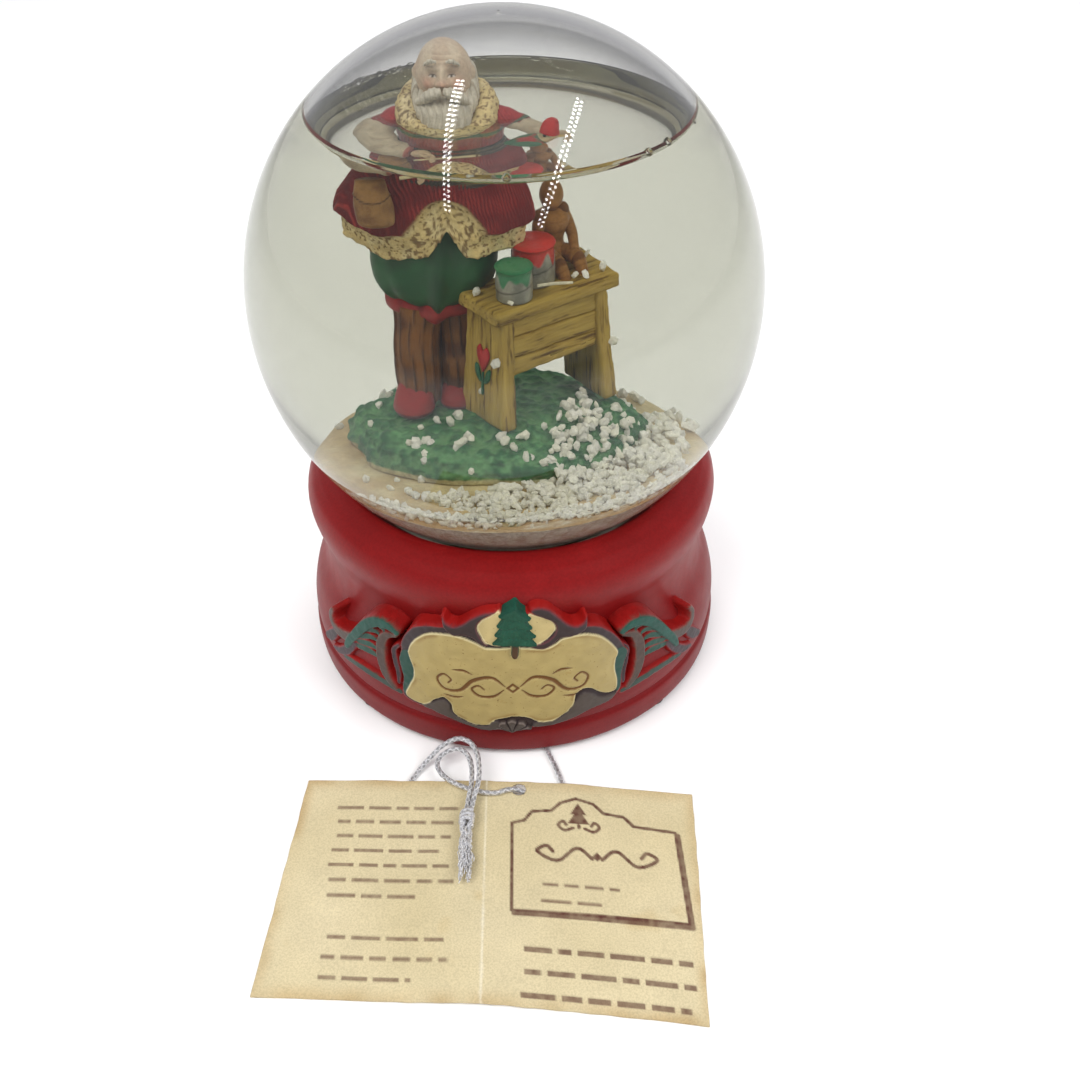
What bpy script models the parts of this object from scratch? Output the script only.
"""Snow globe on a turned musical base, with a paper hang tag on an elastic cord.

One named object for each real piece. The origin is the middle of the resting plane, +Z is up and
the decorated front faces -Y. Dimensions are in millimetres; meshes are made in metres.
"""

import math

import bmesh
import bpy
from mathutils import Matrix, Vector

MM = 0.001
GAP = 0.3

# Glass globe
GLOBE_HEIGHT = 83.3
GLASS_RADIUS = 50.0
GLASS_WALL = 1.8
NECK_RADIUS = 30.0
NECK_LENGTH = 5.0
GLOBE_SEGMENTS = 32
WATER_LEVEL = GLOBE_HEIGHT + 34.4

# Base
PAD_THICKNESS = 1.2
BASE_BOTTOM = 1.5
BASE_OUTER = (
    (1.5, 48.6),
    (3.0, 49.0),
    (7.2, 48.9),
    (8.6, 48.0),
    (9.8, 48.5),
    (15.6, 48.0),
    (20.3, 46.9),
    (25.0, 44.0),
    (29.7, 43.3),
    (34.5, 43.5),
    (39.1, 45.3),
    (43.9, 45.4),
    (47.4, 43.6),
    (48.6, 41.6),
)
DISH_FOOT = (44.0, 32.6)
SHELF_TOP = 35.2
SHELF_UNDERSIDE = 32.2
SHELF_HOLE = 18.0
CHAMBER_RADIUS = 40.5
PLATE_LEDGE = 16.3
RECESS_RADIUS = 42.5
BOTTOM_PLATE_THICKNESS = 2.0
BOSS_CIRCLE = 37.5
BOSS_RADIUS = 3.6
BOSS_ANGLES = (90, 210, 330)

# Musical movement
CROWN_TEETH = 30
PINION_TEETH = 12
CYLINDER_GEAR_TEETH = 30
GOVERNOR_PINION_TEETH = 10
WORM_WHEEL_TEETH = 16
CROWN_RADIUS = 8.7
CROWN_PITCH_HEIGHT = 21.9
PINION_RADIUS = CROWN_RADIUS * PINION_TEETH / CROWN_TEETH
CYLINDER_HEIGHT = CROWN_PITCH_HEIGHT + PINION_RADIUS
CYLINDER_GEAR_RADIUS = 5.0
GOVERNOR_PINION_RADIUS = CYLINDER_GEAR_RADIUS * GOVERNOR_PINION_TEETH / CYLINDER_GEAR_TEETH
GOVERNOR_Y = CYLINDER_GEAR_RADIUS + GOVERNOR_PINION_RADIUS
WORM_WHEEL_RADIUS = 4.0
WORM_LEAD = 2 * math.pi * WORM_WHEEL_RADIUS / WORM_WHEEL_TEETH
WORM_CORE_RADIUS = 0.75
WORM_THREAD_HEIGHT = 0.6
WORM_X = -33.2
WORM_Y = GOVERNOR_Y + WORM_WHEEL_RADIUS + WORM_CORE_RADIUS + 0.55
SHAFT_RADIUS = 1.0
BORE_RADIUS = 1.1

# Figure, bench and mound inside the globe
PLINTH_TOP = 60.3
MOUND_TOP = 66.3
BENCH_CENTRE = (4.7, 1.2)
BENCH_TURN = math.radians(37)
BENCH_SIZE = (21.5, 9.6, 2.0)
BENCH_HEIGHT = 85.3

# Hang tag and cord, lying in front
CORD_RADIUS = 0.55
TAG_THICKNESS = 0.4
TAG_STATIONS = (
    ((-44.0, -55.7, 0.2), (-46.8, -103.3, 0.1)),
    ((-32.0, -56.3, 0.9), (-34.5, -103.8, 0.2)),
    ((-22.5, -56.9, 1.5), (-23.5, -104.4, 0.3)),
    ((-5.3, -57.0, 1.6), (-4.8, -105.0, 0.9)),
    ((13.0, -57.9, 1.5), (13.5, -106.6, 0.3)),
    ((25.0, -59.0, 0.9), (25.0, -107.8, 0.2)),
    ((38.6, -59.9, 0.2), (36.1, -109.2, 0.1)),
)
TAG_HOLE = (1.6, -59.4)
TAG_HOLE_RADIUS = 2.0
CORD_ROUTE = (
    (0.0, -4.2, 11.5),
    (0.1, -9.0, 11.5),
    (0.6, -14.0, 11.0),
    (1.4, -20.0, 8.2),
    (2.5, -26.0, 4.2),
    (3.8, -32.0, 1.6),
    (5.2, -38.0, 0.7),
    (6.6, -44.0, 0.6),
    (7.9, -48.5, 0.6),
    (9.6, -53.0, 0.6),
    (10.8, -57.0, 0.6),
    (10.6, -60.0, 0.6),
    (8.6, -61.9, 0.6),
    (6.0, -61.6, 0.6),
    (3.9, -60.4, 0.8),
    (1.6, -59.4, 1.8),
    (-0.8, -60.0, 2.7),
    (-3.4, -60.8, 2.7),
    (-6.8, -60.4, 2.7),
    (-10.0, -59.3, 2.7),
    (-13.1, -57.6, 2.7),
    (-15.3, -55.4, 2.7),
    (-16.1, -53.2, 2.8),
    (-15.4, -51.6, 3.3),
    (-13.8, -50.9, 4.2),
    (-11.9, -50.8, 4.9),
    (-10.2, -51.6, 4.9),
    (-9.0, -53.4, 4.6),
    (-8.4, -56.2, 4.3),
    (-8.4, -59.6, 4.1),
    (-8.8, -62.6, 3.8),
    (-9.1, -65.6, 3.6),
)
RETURN_ROUTE = (
    (6.4, -63.0, 0.6),
    (3.0, -63.8, 0.6),
    (-3.0, -63.6, 0.6),
    (-9.0, -62.9, 0.6),
    (-15.0, -62.0, 0.6),
    (-19.4, -60.6, 0.6),
    (-21.6, -58.4, 0.6),
    (-21.6, -56.0, 0.6),
    (-20.4, -53.8, 0.8),
    (-18.8, -51.8, 1.5),
    (-17.1, -50.5, 2.7),
    (-15.5, -49.7, 4.1),
    (-13.6, -49.2, 5.4),
    (-11.4, -49.1, 6.3),
    (-9.2, -50.0, 6.3),
    (-7.7, -52.0, 5.9),
    (-6.9, -55.2, 5.4),
    (-6.8, -59.0, 4.9),
    (-7.6, -62.6, 4.3),
    (-8.1, -65.6, 3.9),
)


def material(name, colour, roughness=0.5, metallic=0.0):
    result = bpy.data.materials.new(name)
    result.use_nodes = True
    shader = result.node_tree.nodes["Principled BSDF"]
    shader.inputs["Base Color"].default_value = (*colour, 1.0)
    shader.inputs["Roughness"].default_value = roughness
    shader.inputs["Metallic"].default_value = metallic
    return result


def add_object(name, bm, finish, location=(0, 0, 0), rotation=(0, 0, 0)):
    """Turn a bmesh in millimetres into a named object, in metres, with its faces pointing out."""
    bmesh.ops.recalc_face_normals(bm, faces=bm.faces)
    bmesh.ops.scale(bm, vec=(MM, MM, MM), verts=bm.verts)
    mesh = bpy.data.meshes.new(name)
    bm.to_mesh(mesh)
    bm.free()
    mesh.shade_smooth()
    mesh.set_sharp_from_angle(angle=math.radians(35))
    mesh.materials.append(finish)
    item = bpy.data.objects.new(name, mesh)
    item.location = Vector(location) * MM
    item.rotation_euler = rotation
    bpy.context.scene.collection.objects.link(item)
    return item


def skin(rings, is_loop=False):
    """Bridge rings of equal length, and close the two ends unless the rings form a loop."""
    bm = bmesh.new()
    made = [[bm.verts.new(point) for point in ring] for ring in rings]
    pairs = list(zip(made, made[1:]))
    if is_loop:
        pairs.append((made[-1], made[0]))
    else:
        bm.faces.new(made[0])
        bm.faces.new(made[-1])
    for lower, upper in pairs:
        for here in range(len(lower)):
            after = (here + 1) % len(lower)
            bm.faces.new((lower[here], lower[after], upper[after], upper[here]))
    return bm


def ring_of(radius_x, radius_y, height, segments, centre=(0, 0), turn=0.0):
    points = []
    for step in range(segments):
        angle = 2 * math.pi * step / segments
        x = radius_x * math.cos(angle)
        y = radius_y * math.sin(angle)
        points.append((
            centre[0] + x * math.cos(turn) - y * math.sin(turn),
            centre[1] + x * math.sin(turn) + y * math.cos(turn),
            height,
        ))
    return points


def lathe(name, profile, finish, segments=40, is_loop=False, **place):
    """Turn (height, radius) points round the vertical axis."""
    rings = [ring_of(radius, radius, height, segments) for height, radius in profile]
    return add_object(name, skin(rings, is_loop), finish, **place)


def loft(name, sections, finish, segments=16, turn=0.0):
    """Stack ellipses given as (centre x, centre y, height, radius x, radius y)."""
    rings = [ring_of(rx, ry, z, segments, (x, y), turn) for x, y, z, rx, ry in sections]
    return add_object(name, skin(rings), finish)


def ellipsoid(name, centre, radii, finish, segments=14, layers=8):
    """A rounded lump with small flat poles."""
    sections = []
    for layer in range(layers + 1):
        angle = math.pi * (0.06 + 0.88 * layer / layers)
        spread = math.sin(angle)
        height = centre[2] - radii[2] * math.cos(angle)
        sections.append((centre[0], centre[1], height, radii[0] * spread, radii[1] * spread))
    return loft(name, sections, finish, segments)


def prism(name, outline, low, high, finish, **place):
    rings = [[(x, y, height) for x, y in outline] for height in (low, high)]
    return add_object(name, skin(rings), finish, **place)


def block(name, low, high, finish, **place):
    outline = ((low[0], low[1]), (high[0], low[1]), (high[0], high[1]), (low[0], high[1]))
    return prism(name, outline, low[2], high[2], finish, **place)


def sweep(name, points, radii, finish, sides=10):
    """A round limb of changing radius through a few points."""
    path = [Vector(point) for point in points]
    rings = []
    for index, point in enumerate(path):
        ahead = path[min(index + 1, len(path) - 1)]
        behind = path[max(index - 1, 0)]
        frame = (ahead - behind).to_track_quat("Z", "Y").to_matrix()
        flat = ring_of(radii[index], radii[index], 0.0, sides)
        rings.append([point + frame @ Vector(corner) for corner in flat])
    return add_object(name, skin(rings), finish)


def boolean(target, tool, operation):
    """Cut a tool out of a piece, or join it on; the tool itself isn't part of the model."""
    modifier = target.modifiers.new(operation.title() + "_" + tool.name, "BOOLEAN")
    modifier.operation = operation
    modifier.object = tool
    modifier.solver = "EXACT"
    tool.hide_render = True
    tool.display_type = "WIRE"
    tool.parent = target
    tool.matrix_parent_inverse = Matrix.LocRotScale(target.location, target.rotation_euler, None).inverted()


def rod(name, radius, low, high, finish, segments=16, **place):
    return lathe(name, ((low, radius), (high, radius)), finish, segments, **place)


def arc_of(radius, first, last, steps, height):
    """Points (height, radius) on a sphere about the globe's centre, between two heights."""
    points = []
    start = math.asin((first - height) / radius)
    end = math.asin((last - height) / radius)
    for step in range(steps + 1):
        angle = start + (end - start) * step / steps
        points.append((height + radius * math.sin(angle), radius * math.cos(angle)))
    return points


def base_radius(height):
    """Outer radius of the base at a height, between the points of its profile."""
    for (low, low_radius), (high, high_radius) in zip(BASE_OUTER, BASE_OUTER[1:]):
        if low <= height <= high:
            share = (height - low) / (high - low)
            return low_radius + share * (high_radius - low_radius)
    return BASE_OUTER[-1][1]


# Base ------------------------------------------------------------------------------------------

def make_base(red, steel, rubber):
    profile = list(BASE_OUTER)
    profile += [(46.6, 38.0), DISH_FOOT]
    profile += [(SHELF_TOP, DISH_FOOT[1]), (SHELF_TOP, SHELF_HOLE)]
    profile += [(SHELF_UNDERSIDE, SHELF_HOLE), (SHELF_UNDERSIDE, CHAMBER_RADIUS)]
    profile += [(PLATE_LEDGE, CHAMBER_RADIUS), (PLATE_LEDGE, RECESS_RADIUS), (BASE_BOTTOM, RECESS_RADIUS)]
    shell = lathe("base_shell", profile, red, 44, is_loop=True)
    plate_low = PLATE_LEDGE - GAP - BOTTOM_PLATE_THICKNESS
    plate = rod("bottom_plate", RECESS_RADIUS - 0.4, plate_low, PLATE_LEDGE - GAP, steel, 36)
    boolean(plate, rod("cutter_key_hole", 2.6, plate_low - 1, PLATE_LEDGE + 1, steel), "DIFFERENCE")
    for number, degrees in enumerate(BOSS_ANGLES, start=1):
        angle = math.radians(degrees)
        x = BOSS_CIRCLE * math.cos(angle)
        y = BOSS_CIRCLE * math.sin(angle)
        boss = rod(f"tool_boss_{number}", BOSS_RADIUS, PLATE_LEDGE, SHELF_UNDERSIDE + 1, red, location=(x, y, 0))
        boolean(shell, boss, "UNION")
        pilot = rod(f"cutter_pilot_{number}", 1.4, PLATE_LEDGE - 1, 24, red, 12, location=(x, y, 0))
        boolean(shell, pilot, "DIFFERENCE")
        clearance = rod(f"cutter_plate_hole_{number}", 1.5, plate_low - 1, PLATE_LEDGE + 1, steel, 12,
                        location=(x, y, 0))
        boolean(plate, clearance, "DIFFERENCE")
        screw = ((12.6, 1.6), (13.2, 2.6), (plate_low - GAP, 2.8), (plate_low - GAP, 1.05), (23.0, 1.05), (23.6, 0.5))
        lathe(f"plate_screw_{number}", screw, steel, 12, location=(x, y, 0))
    for number in range(4):
        angle = math.radians(45 + 90 * number)
        middle = (RECESS_RADIUS + 48.6) / 2
        place = (middle * math.cos(angle), middle * math.sin(angle), 0)
        lathe(f"foot_pad_{number + 1}", ((0.0, 2.4), (0.2, 2.7), (PAD_THICKNESS, 2.7)), rubber, 16, location=place)


def wall_relief(name, azimuths, low, high, face, finish, levels=6):
    """A raised casting that follows the base's outer wall, between two heights at each azimuth."""
    rings = []
    for index, degrees in enumerate(azimuths):
        angle = math.radians(degrees)
        direction = (math.sin(angle), -math.cos(angle))
        heights = [low[index] + (high[index] - low[index]) * level / levels for level in range(levels + 1)]
        outer = [(face, height) for height in heights]
        inner = [(base_radius(height) / math.cos(math.radians(3.2)) + 2 * GAP, height) for height in reversed(heights)]
        rings.append([(radius * direction[0], radius * direction[1], height) for radius, height in outer + inner])
    return add_object(name, skin(rings), finish)


def make_relief(cream, green, brown):
    count = 8
    azimuths = [-27.5 + 55 * step / count for step in range(count + 1)]
    low = (14.5, 14.2, 16.5, 11.5, 11.3, 11.5, 16.5, 14.2, 14.5)
    high = (32.5, 35.0, 35.6, 34.6, 33.6, 34.6, 35.6, 34.6, 30.0)
    wall_relief("relief_plate", azimuths, low, high, 50.1, cream)
    wall_relief("shell_ornament", (-8, 0, 8), (9.9, 9.4, 9.9), (11.1, 10.9, 11.1), 50.0, brown, 2)
    wall_relief("fir_tree", (-7, 0, 7), (36.0, 34.4, 36.0), (38.0, 44.5, 38.0), 48.4, green, 6)
    reach = (28.3, 33.0, 38.0, 43.0, 48.0, 53.0, 58.0)
    bottom = (13.0, 13.0, 14.0, 14.0, 14.0, 14.5, 16.0)
    top = (32.0, 33.0, 30.5, 26.5, 25.5, 26.0, 22.0)
    wall_relief("scroll_right", reach, bottom, top, 49.7, green, 4)
    wall_relief("scroll_left", [-angle for angle in reach], bottom, top, 49.7, green, 4)


# Globe -----------------------------------------------------------------------------------------

def make_globe(glass, rubber, glue, resin, water, snow):
    centre = GLOBE_HEIGHT
    inner = GLASS_RADIUS - GLASS_WALL
    neck_top = centre - math.sqrt(GLASS_RADIUS ** 2 - NECK_RADIUS ** 2)
    neck_inner = NECK_RADIUS - GLASS_WALL
    inner_neck_top = centre - math.sqrt(inner ** 2 - neck_inner ** 2)
    neck_bottom = neck_top - NECK_LENGTH
    outside = arc_of(GLASS_RADIUS, neck_top, centre + GLASS_RADIUS * 0.9996, 15, centre)
    inside = arc_of(inner, centre + inner * 0.9996, inner_neck_top, 13, centre)
    bm = skin([ring_of(radius, radius, height, GLOBE_SEGMENTS) for height, radius in
               [(neck_bottom, NECK_RADIUS)] + outside])
    glass_body = add_object("glass_globe", bm, glass)
    bm = skin([ring_of(radius, radius, height, GLOBE_SEGMENTS) for height, radius in
               inside + [(neck_bottom - 1, neck_inner)]])
    boolean(glass_body, add_object("cutter_globe_inside", bm, glass), "DIFFERENCE")

    plug = ((SHELF_TOP + GAP, 30.6), (neck_bottom - GAP, 30.6), (neck_bottom - GAP, neck_inner - GAP),
            (42.6, neck_inner - GAP))
    lathe("rubber_plug", plug, rubber, 24)
    outer_at_seal = math.sqrt(GLASS_RADIUS ** 2 - (centre - 45.6) ** 2)
    seal = ((43.4, 31.2), (44.2, 32.3), (45.6, outer_at_seal + 0.8), (46.4, 35.4), (45.6, outer_at_seal + 0.4))
    lathe("seal_ring", seal, glue, GLOBE_SEGMENTS, is_loop=True)
    lathe("floor_plinth", ((42.9, 27.2), (58.9, 27.2), (PLINTH_TOP, 26.4)), resin, 28)

    bed_outside = arc_of(inner - GAP, 45.2, 58.2, 5, centre)
    bed = [(45.2, 27.6)] + bed_outside + [(59.4, 30.0), (59.0, 27.6)]
    lathe("snow_bed", bed, snow, GLOBE_SEGMENTS, is_loop=True)

    wet = arc_of(inner - GAP, 58.8, WATER_LEVEL, 9, centre)
    water_body = lathe("water_fill", [(60.7, 20.0), (60.7, 27.0), (59.8, 30.2)] + wet, water, GLOBE_SEGMENTS)
    well = prism("cutter_well", [point[:2] for point in ring_of(23.6, 18.6, 0, 24, (-4.0, 1.0))], 50, 130, water)
    boolean(water_body, well, "DIFFERENCE")


# Figure and bench ------------------------------------------------------------------------------

def make_figure(paint):
    mound = ((-2, 0, 60.6, 21.0, 16.5), (-2, 0, 62.2, 21.2, 16.7), (-2, 0, 64.8, 20.0, 15.6),
             (-2, 0, MOUND_TOP, 18.0, 13.6))
    loft("mound", mound, paint["green"], 24)
    loft("shoe_left", ((-13.8, -1.6, 66.6, 3.0, 4.4), (-13.8, -1.6, 68.0, 3.1, 4.5), (-13.4, -0.6, 69.4, 2.6, 3.2)),
         paint["red"])
    loft("shoe_right", ((-7.4, 1.4, 66.6, 2.4, 3.2), (-7.4, 1.6, 68.0, 2.5, 3.3), (-7.2, 2.2, 69.4, 2.2, 2.6)),
         paint["red"])
    loft("boot_left", ((-13.3, 1.0, 69.8, 2.9, 3.1), (-13.1, 1.4, 75.5, 2.9, 3.1), (-12.9, 1.8, 81.2, 3.0, 3.2)),
         paint["brown"])
    loft("boot_right", ((-7.2, 2.6, 69.8, 2.5, 2.8), (-7.1, 2.8, 75.5, 2.5, 2.8), (-7.3, 3.0, 81.2, 2.3, 3.0)),
         paint["brown"])
    loft("breeches", ((-10.4, 3.2, 81.6, 5.7, 3.9), (-10.4, 3.4, 84.0, 6.2, 4.3), (-10.3, 3.6, 88.0, 6.9, 4.8),
                      (-10.1, 3.8, 90.6, 6.6, 4.6)), paint["green"], 20)
    loft("fur_hem", ((-9.9, 3.6, 91.0, 12.6, 7.6), (-9.9, 3.4, 92.6, 14.0, 8.8), (-9.9, 3.4, 95.0, 14.2, 9.0)),
         paint["cream"], 24)
    loft("coat_skirt", ((-9.9, 3.5, 95.4, 13.8, 8.7), (-9.8, 3.7, 98.5, 12.4, 7.9), (-9.4, 4.0, 101.0, 10.0, 6.9)),
         paint["red"], 24)
    loft("belt", ((-9.4, 4.0, 101.4, 9.4, 6.8), (-9.3, 4.0, 103.2, 9.2, 6.7)), paint["dark"], 24)
    loft("torso", ((-9.3, 4.0, 103.6, 9.0, 6.6), (-9.2, 3.8, 109.0, 9.2, 6.8), (-9.0, 3.8, 113.5, 8.8, 6.4),
                   (-9.1, 3.6, 115.4, 7.8, 5.6)), paint["red"], 24)
    loft("pouch", ((-19.4, -5.6, 98.6, 2.4, 0.8), (-19.2, -5.4, 101.0, 2.6, 1.0), (-18.8, -5.0, 103.8, 2.2, 0.9)),
         paint["leather"])
    collar = []
    for step in range(8):
        angle = 2 * math.pi * step / 8
        collar.append((117.3 + 1.5 * math.sin(angle), 6.7 + 1.5 * math.cos(angle)))
    lathe("fur_collar", collar, paint["cream"], 18, is_loop=True, location=(-9.5, 2.9, 0))
    ellipsoid("head", (-9.6, 3.0, 122.8), (5.2, 5.2, 5.5), paint["skin"])
    beard = ellipsoid("beard", (-9.7, -1.6, 120.4), (4.4, 3.2, 3.2), paint["white"])
    boolean(beard, ellipsoid("cutter_chin", (-9.6, 3.0, 122.8), (5.6, 5.6, 5.9), paint["skin"]), "DIFFERENCE")
    boolean(beard, block("cutter_collar_line", (-20, -12, 110), (0, 10, 119.2), paint["skin"]), "DIFFERENCE")
    sweep("arm_left", ((-20.9, 3.2, 113.6), (-22.2, 0.0, 111.4), (-20.6, -4.4, 109.0), (-16.0, -6.8, 107.8),
                       (-12.6, -7.0, 107.6)), (2.3, 2.8, 2.7, 2.0, 1.3), paint["cream"])
    sweep("arm_right", ((2.4, 2.6, 113.6), (4.4, -0.6, 113.0), (7.4, -2.4, 112.9), (10.6, -3.2, 113.0)),
          (2.3, 2.2, 1.8, 1.2), paint["cream"])
    sweep("paint_brush", ((-13.5, -9.4, 106.9), (-3.8, -9.0, 108.2)), (0.55, 0.4), paint["wood"], 8)
    sweep("toy_bird", ((1.6, -7.4, 111.4), (3.4, -7.0, 111.6), (6.4, -6.9, 112.4), (8.6, -6.7, 113.6)),
          (0.8, 1.6, 1.5, 0.8), paint["green"], 8)


def make_bench(paint):
    def bench_point(along, across, height=0.0):
        x = BENCH_CENTRE[0] + along * math.cos(BENCH_TURN) - across * math.sin(BENCH_TURN)
        y = BENCH_CENTRE[1] + along * math.sin(BENCH_TURN) + across * math.cos(BENCH_TURN)
        return (x, y, height)

    def board(name, low, high, shade="wood"):
        block(name, low, high, paint[shade], location=bench_point(0, 0), rotation=(0, 0, BENCH_TURN))

    length, width, thick = BENCH_SIZE
    under = BENCH_HEIGHT - thick
    board("bench_top", (-length / 2, -width / 2, under), (length / 2, width / 2, BENCH_HEIGHT))
    board("bench_end_near", (-9.6, -4.6, 66.7), (-7.4, 4.6, under - GAP))
    board("bench_end_far", (7.0, -4.4, 66.7), (9.2, 4.4, under - GAP))
    board("bench_apron", (-7.1, -4.0, 74.0), (6.7, -2.8, under - GAP))
    can = ((0.0, 0.95), (0.2, 1.0), (4.4, 0.98), (5.0, 1.0))
    for name, shade, spot, radius in (("green_can", "tin", (-3.6, -2.0), 2.6), ("red_can", "tin", (2.0, 0.4), 3.0)):
        profile = [(BENCH_HEIGHT + GAP + height, radius * share) for height, share in can]
        lathe(name, profile, paint[shade], 16, location=bench_point(*spot))
    doll = ((0.0, 1.6), (1.2, 2.1), (2.6, 1.3), (4.8, 1.7), (6.0, 0.7), (6.6, 1.3), (8.0, 1.5), (9.2, 0.8))
    profile = [(BENCH_HEIGHT + GAP + height, radius) for height, radius in doll]
    lathe("lay_figure", profile, paint["leather"], 12, location=bench_point(7.4, 0.4))


# Musical movement ------------------------------------------------------------------------------

def gear_outline(teeth, radius, addendum, dedendum, gap_first=False):
    """A gear's outline: tapered teeth, the first one (or the first gap) centred on +X."""
    pitch = 2 * math.pi / teeth
    root = radius - dedendum
    tip = radius + addendum
    shift = 0.5 * pitch if gap_first else 0.0
    points = []
    for tooth in range(teeth):
        middle = tooth * pitch + shift
        for offset, reach in ((-0.27, root), (-0.13, tip), (0.13, tip), (0.27, root)):
            angle = middle + offset * pitch
            points.append((reach * math.cos(angle), reach * math.sin(angle)))
    return points


def make_crown(brass):
    """Crown wheel, spring drum and hub in one piece; the teeth stand up from the rim."""
    profile = ((19.6, 9.5), (21.0, 9.5), (21.0, 6.9), (28.4, 6.9), (28.4, 6.1), (21.4, 6.1), (21.4, 1.85), (19.6, 1.85))
    drum = lathe("spring_barrel", profile, brass, 30, is_loop=True)
    pitch = 2 * math.pi / CROWN_TEETH
    width = 2 * CROWN_RADIUS * math.sin(pitch / 2)
    bm = bmesh.new()
    for tooth in range(CROWN_TEETH):
        turn = Matrix.Rotation(math.pi + tooth * pitch, 3, "Z")
        low = [(7.9, -0.24), (9.4, -0.24), (9.4, 0.24), (7.9, 0.24)]
        high = [(7.9, -0.12), (9.4, -0.12), (9.4, 0.12), (7.9, 0.12)]
        lower = [bm.verts.new(turn @ Vector((x, y * width, 20.7))) for x, y in low]
        upper = [bm.verts.new(turn @ Vector((x, y * width, 22.35))) for x, y in high]
        bm.faces.new(lower)
        bm.faces.new(upper)
        for here in range(4):
            after = (here + 1) % 4
            bm.faces.new((lower[here], lower[after], upper[after], upper[here]))
    boolean(drum, add_object("tool_crown_teeth", bm, brass), "UNION")


def make_mainspring(steel):
    turns = 4.5
    steps = 54
    thickness = 0.25
    rings = []
    for step in range(steps + 1):
        angle = 2 * math.pi * turns * step / steps
        radius = 2.2 + 3.4 * step / steps
        inner = Vector((math.cos(angle), math.sin(angle), 0)) * radius
        outer = Vector((math.cos(angle), math.sin(angle), 0)) * (radius + thickness)
        rings.append([inner + Vector((0, 0, 22.0)), outer + Vector((0, 0, 22.0)),
                      outer + Vector((0, 0, 27.6)), inner + Vector((0, 0, 27.6))])
    add_object("mainspring", skin(rings), steel)


def make_key(brass, steel):
    arbor = ((4.4, 1.1), (4.8, 1.5), (29.2, 1.5), (29.6, 1.1))
    lathe("winding_arbor", arbor, steel, 16)
    key = rod("winding_key", 3.2, 6.4, 12.8, brass, 20)
    wings = block("tool_key_wings", (-11, -0.8, 3.0), (11, 0.8, 10.2), brass)
    ends = wings.modifiers.new("Round_wings", "BEVEL")
    ends.width = 0.5 * MM
    ends.segments = 1
    boolean(key, wings, "UNION")
    boolean(key, rod("cutter_key_bore", 1.8, 4.1, 14, brass, 16), "DIFFERENCE")


def make_frame(steel, brass):
    outline = ((13, -11), (13, 12), (8, 15), (-31, 17), (-36.6, 12), (-36.6, -8), (-31, -14), (-12, -14), (8, -14))
    frame = prism("movement_frame", outline, PLATE_LEDGE + 0.1, 18.0, steel)
    boolean(frame, rod("cutter_frame_arbor", 2.4, 15, 20, steel), "DIFFERENCE")
    brackets = {
        "tool_bracket_inner": ((-11.4, -3.0, 17.5), (-10.3, 3.0, 28.4)),
        "tool_bracket_middle": ((-31.6, -3.0, 17.5), (-30.3, 9.2, 28.4)),
        "tool_bracket_outer": ((-36.4, 3.6, 17.5), (-35.4, 9.4, 28.4)),
        "tool_comb_rest": ((-28.0, -13.6, 17.5), (-11.6, -8.6, 24.6)),
    }
    for name, (low, high) in brackets.items():
        boolean(frame, block(name, low, high, steel), "UNION")
    along_x = (0, math.radians(90), 0)
    bores = rod("cutter_cylinder_bore", BORE_RADIUS, -33, -9, steel, 16, location=(0, 0, CYLINDER_HEIGHT),
                rotation=along_x)
    boolean(frame, bores, "DIFFERENCE")
    bores = rod("cutter_governor_bore", BORE_RADIUS - 0.3, -38, -29, steel, 16,
                location=(0, GOVERNOR_Y, CYLINDER_HEIGHT), rotation=along_x)
    boolean(frame, bores, "DIFFERENCE")
    comb = block("tone_comb", (-27.6, -13.2, 24.9), (-12.0, -5.9, 25.7), steel)
    slot_count = 9
    for slot in range(slot_count):
        x = -26.4 + 13.2 * slot / (slot_count - 1)
        boolean(comb, block(f"cutter_comb_{slot}", (x - 0.2, -9.6, 24), (x + 0.2, -5, 27), steel), "DIFFERENCE")
    governor = block("governor_frame", (WORM_X - 1.6, 15.4, 18.3), (WORM_X + 1.6, 16.6, 30.6), brass)
    for name, low, high in (("tool_governor_foot", 18.3, 19.3), ("tool_governor_head", 29.6, 30.6)):
        boolean(governor, block(name, (WORM_X - 1.6, WORM_Y - 1.2, low), (WORM_X + 1.6, 16.0, high), brass), "UNION")
    bores = rod("cutter_worm_bore", 0.6, 17, 32, brass, 12, location=(WORM_X, WORM_Y, 0))
    boolean(governor, bores, "DIFFERENCE")


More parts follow.
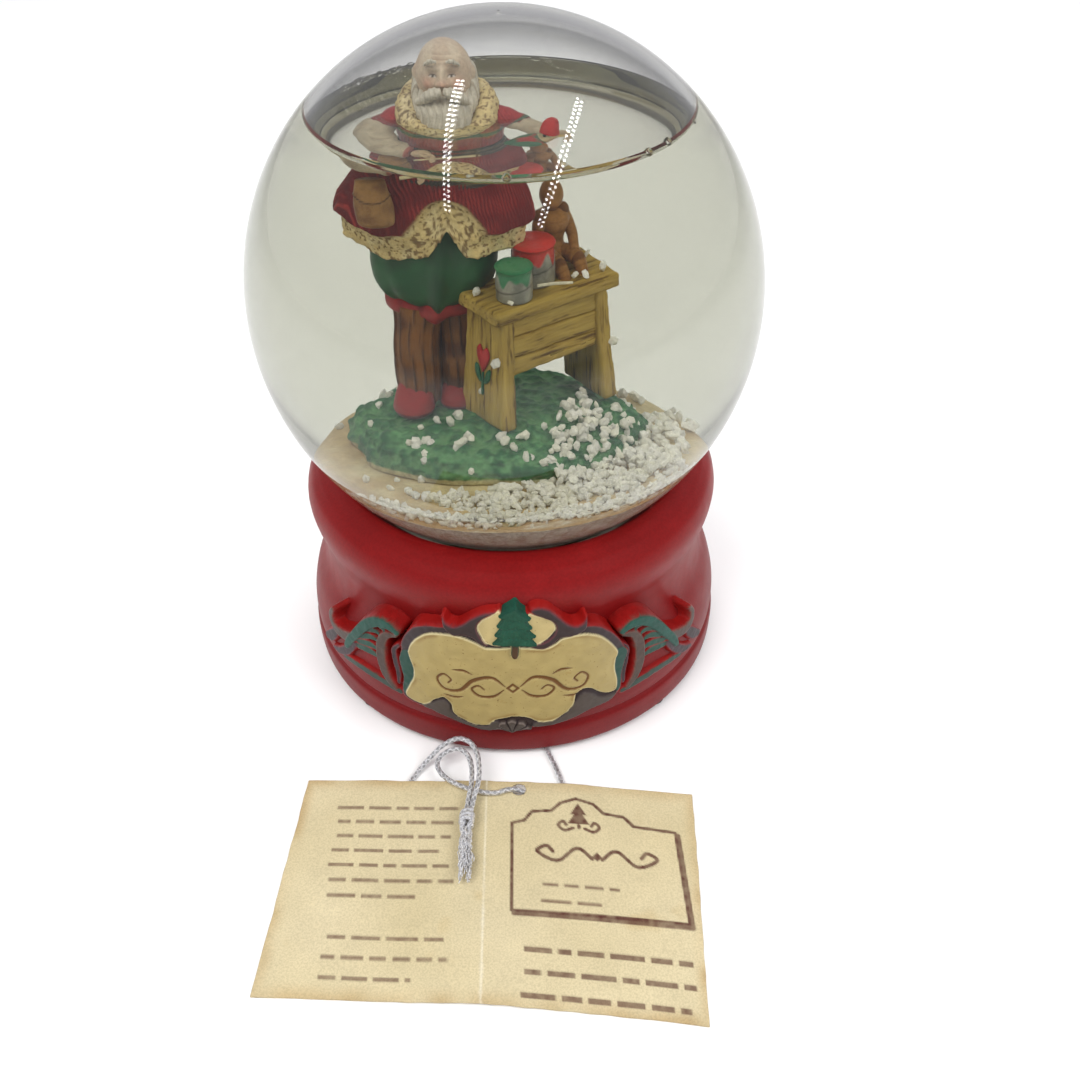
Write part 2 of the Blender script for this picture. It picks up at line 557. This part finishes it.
def make_train(steel, brass):
    along_x = (0, math.radians(90), 0)
    axis = (0, 0, CYLINDER_HEIGHT)
    shaft = rod("cylinder_shaft", SHAFT_RADIUS, -32.4, -7.4, steel, 16, location=axis, rotation=along_x)
    module = PINION_RADIUS * 2 / PINION_TEETH
    outline = gear_outline(PINION_TEETH, PINION_RADIUS, 0.6 * module, 1.0 * module, gap_first=True)
    pinion = prism("tool_drive_pinion", outline, -9.5, -7.8, brass, location=axis, rotation=along_x)
    boolean(shaft, pinion, "UNION")
    module = CYLINDER_GEAR_RADIUS * 2 / CYLINDER_GEAR_TEETH
    outline = gear_outline(CYLINDER_GEAR_TEETH, CYLINDER_GEAR_RADIUS, 0.7 * module, 1.1 * module, gap_first=True)
    gear = prism("tool_cylinder_gear", outline, -29.6, -28.4, brass, location=axis, rotation=along_x)
    boolean(shaft, gear, "UNION")

    drum = lathe("music_cylinder", ((-28.0, 1.3), (-28.0, 5.2), (-11.8, 5.2), (-11.8, 1.3)), brass, 32,
                 is_loop=True, location=axis, rotation=along_x)
    bm = bmesh.new()
    pin_rows = 9
    for pin in range(27):
        row = pin % pin_rows
        angle = math.radians(80 + 97 * pin)
        place = -26.6 + 13.2 * row / (pin_rows - 1) + 0.6
        turn = Matrix.Rotation(angle, 4, "Z")
        spot = turn @ Matrix.Translation((5.2, 0, place))
        bmesh.ops.create_cube(bm, size=0.5, matrix=spot)
    boolean(drum, add_object("tool_cylinder_pins", bm, steel, location=axis, rotation=along_x), "UNION")

    axis = (0, GOVERNOR_Y, CYLINDER_HEIGHT)
    governor = rod("governor_wheel", 0.7, -36.8, -27.6, steel, 12, location=axis, rotation=along_x)
    module = GOVERNOR_PINION_RADIUS * 2 / GOVERNOR_PINION_TEETH
    outline = gear_outline(GOVERNOR_PINION_TEETH, GOVERNOR_PINION_RADIUS, 0.7 * module, 1.1 * module)
    boolean(governor, prism("tool_governor_pinion", outline, -29.7, -28.3, brass, location=axis, rotation=along_x),
            "UNION")
    outline = gear_outline(WORM_WHEEL_TEETH, WORM_WHEEL_RADIUS, 0.3, 0.55)
    boolean(governor, prism("tool_worm_wheel", outline, WORM_X - 0.6, WORM_X + 0.6, brass, location=axis,
                            rotation=along_x), "UNION")

    rings = []
    steps_per_turn = 8
    sides = 10
    length = 5.2
    count = int(length / WORM_LEAD * steps_per_turn)
    for step in range(count + 1):
        height = CYLINDER_HEIGHT - length / 2 + length * step / count
        ring = []
        for side in range(sides):
            angle = 2 * math.pi * side / sides
            phase = 2 * math.pi * (height - CYLINDER_HEIGHT) / WORM_LEAD - (angle + math.pi / 2)
            crest = max(0.0, -math.cos(phase)) ** 1.6
            radius = WORM_CORE_RADIUS + WORM_THREAD_HEIGHT * crest
            ring.append((radius * math.cos(angle), radius * math.sin(angle), height))
        rings.append(ring)
    fan = add_object("governor_fan", skin(rings), steel, location=(WORM_X, WORM_Y, 0))
    spindle = rod("tool_fan_spindle", 0.5, 18.6, 30.3, steel, 12, location=(WORM_X, WORM_Y, 0))
    boolean(fan, spindle, "UNION")
    blades = block("tool_fan_blades", (-2.3, -0.35, 19.8), (2.3, 0.35, 22.0), steel, location=(WORM_X, WORM_Y, 0))
    boolean(fan, blades, "UNION")


# Hang tag and cord -----------------------------------------------------------------------------

def make_tag(paper):
    rings = []
    for top, bottom in TAG_STATIONS:
        rings.append([
            top,
            bottom,
            (bottom[0], bottom[1], bottom[2] + TAG_THICKNESS),
            (top[0], top[1], top[2] + TAG_THICKNESS),
        ])
    tag = add_object("hang_tag", skin(rings), paper)
    hole = rod("cutter_tag_hole", TAG_HOLE_RADIUS, -2, 5, paper, 14, location=(*TAG_HOLE, 0))
    boolean(tag, hole, "DIFFERENCE")


def smooth_route(points, spacing):
    """Points along a Catmull-Rom curve through the route, about one spacing apart."""
    path = [Vector(point) for point in points]
    path = [path[0] * 2 - path[1]] + path + [path[-1] * 2 - path[-2]]
    result = []
    for before, start, end, after in zip(path, path[1:], path[2:], path[3:]):
        steps = max(1, round((end - start).length / spacing))
        for step in range(steps):
            t = step / steps
            result.append(0.5 * (
                2 * start
                + (end - before) * t
                + (2 * before - 5 * start + 4 * end - after) * t ** 2
                + (3 * start - before - 3 * end + after) * t ** 3
            ))
    return result + [path[-2]]


def make_cord(name, route, finish):
    points = smooth_route(route, 2.6)
    data = bpy.data.curves.new(name, "CURVE")
    data.dimensions = "3D"
    data.bevel_depth = CORD_RADIUS * MM
    data.bevel_resolution = 2
    data.resolution_u = 1
    data.render_resolution_u = 0
    data.use_fill_caps = True
    spline = data.splines.new("POLY")
    spline.points.add(len(points) - 1)
    for target, point in zip(spline.points, points):
        target.co = (*(point * MM), 1.0)
    data.materials.append(finish)
    bpy.context.scene.collection.objects.link(bpy.data.objects.new(name, data))


def main():
    for item in list(bpy.data.objects):
        bpy.data.objects.remove(item, do_unlink=True)
    red = material("red_resin", (0.42, 0.02, 0.03), 0.45)
    steel = material("steel", (0.55, 0.56, 0.58), 0.3, 1.0)
    brass = material("brass", (0.72, 0.52, 0.22), 0.3, 1.0)
    rubber = material("rubber", (0.03, 0.03, 0.03), 0.8)
    glue = material("clear_adhesive", (0.45, 0.42, 0.36), 0.3)
    glass = material("glass", (0.8, 0.85, 0.84), 0.02)
    resin = material("beige_resin", (0.55, 0.42, 0.27), 0.6)
    water = material("water", (0.7, 0.76, 0.6), 0.02)
    snow = material("snow", (0.85, 0.83, 0.78), 0.7)
    silver = material("silver_elastic", (0.6, 0.6, 0.6), 0.35, 0.8)
    paint = {
        "red": material("red_paint", (0.38, 0.02, 0.02), 0.5),
        "green": material("green_paint", (0.03, 0.17, 0.09), 0.5),
        "cream": material("cream_paint", (0.66, 0.55, 0.32), 0.6),
        "brown": material("brown_paint", (0.2, 0.07, 0.03), 0.5),
        "leather": material("tan_paint", (0.32, 0.15, 0.05), 0.5),
        "dark": material("dark_paint", (0.05, 0.04, 0.04), 0.5),
        "skin": material("skin_paint", (0.75, 0.55, 0.4), 0.5),
        "white": material("white_paint", (0.8, 0.77, 0.68), 0.6),
        "wood": material("wood_paint", (0.5, 0.38, 0.16), 0.6),
        "tin": material("tin_paint", (0.35, 0.36, 0.34), 0.5),
    }
    make_base(red, steel, rubber)
    make_relief(paint["cream"], paint["green"], paint["dark"])
    make_globe(glass, rubber, glue, resin, water, snow)
    make_figure(paint)
    make_bench(paint)
    make_crown(brass)
    make_mainspring(steel)
    make_key(brass, steel)
    make_frame(steel, brass)
    make_train(steel, brass)
    make_tag(material("paper", (0.72, 0.62, 0.4), 0.8))
    make_cord("tag_cord", CORD_ROUTE, silver)
    make_cord("tag_cord_return", RETURN_ROUTE, silver)
    sweep("cord_knot", ((-8.8, -66.4, 4.2), (-9.0, -69.6, 4.0), (-8.9, -75.0, 3.8), (-8.6, -81.6, 3.3)),
          (1.5, 1.8, 1.9, 1.3), silver, 10)


main()
